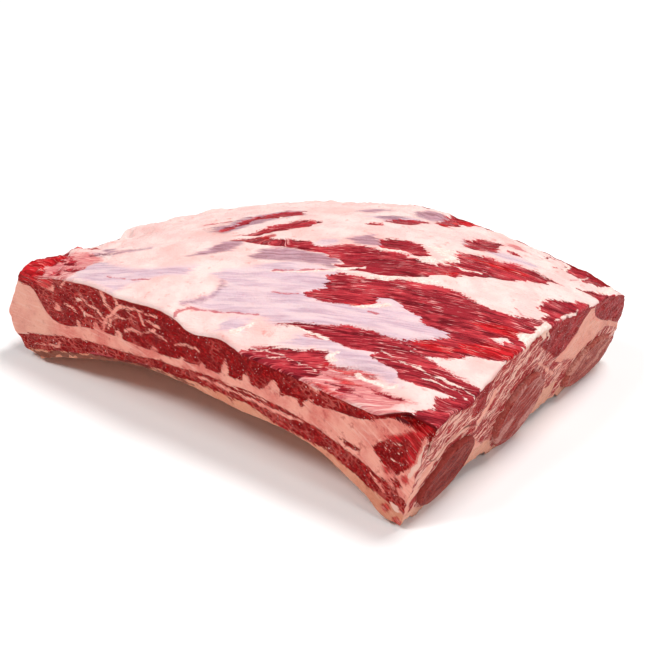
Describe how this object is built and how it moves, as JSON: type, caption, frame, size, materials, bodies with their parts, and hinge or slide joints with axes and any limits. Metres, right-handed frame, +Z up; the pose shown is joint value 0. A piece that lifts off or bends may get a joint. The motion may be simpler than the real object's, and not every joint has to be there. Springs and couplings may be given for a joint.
{
  "type": "raw beef short ribs",
  "caption": "Raw beef plate short ribs: a square-cut, arched slab of ribs with thick marbled meat, a seam of fat, rib meat and a pale membrane under it.",
  "frame": {"origin": "middle of the box round the slab, at the surface that it rests on", "axes": "+X along the bones, from the thin end to the thick end; +Y across the bones, from the cut front face to the back edge; +Z up through the thickness"},
  "size_m": [0.3039, 0.211, 0.0899],
  "materials": {
    "upper_meat": "moist",
    "fat": "moist",
    "rib_meat": "moist",
    "membrane": "moist",
    "bone": "moist cut face"
  },
  "bodies": {
    "root": {"upper_meat": "upper_meat", "fat_seam": "fat", "rib_meat": "rib_meat", "membrane": "membrane", "rib_bone_1": "bone", "rib_bone_2": "bone", "rib_bone_3": "bone"}
  },
  "joints": []
}
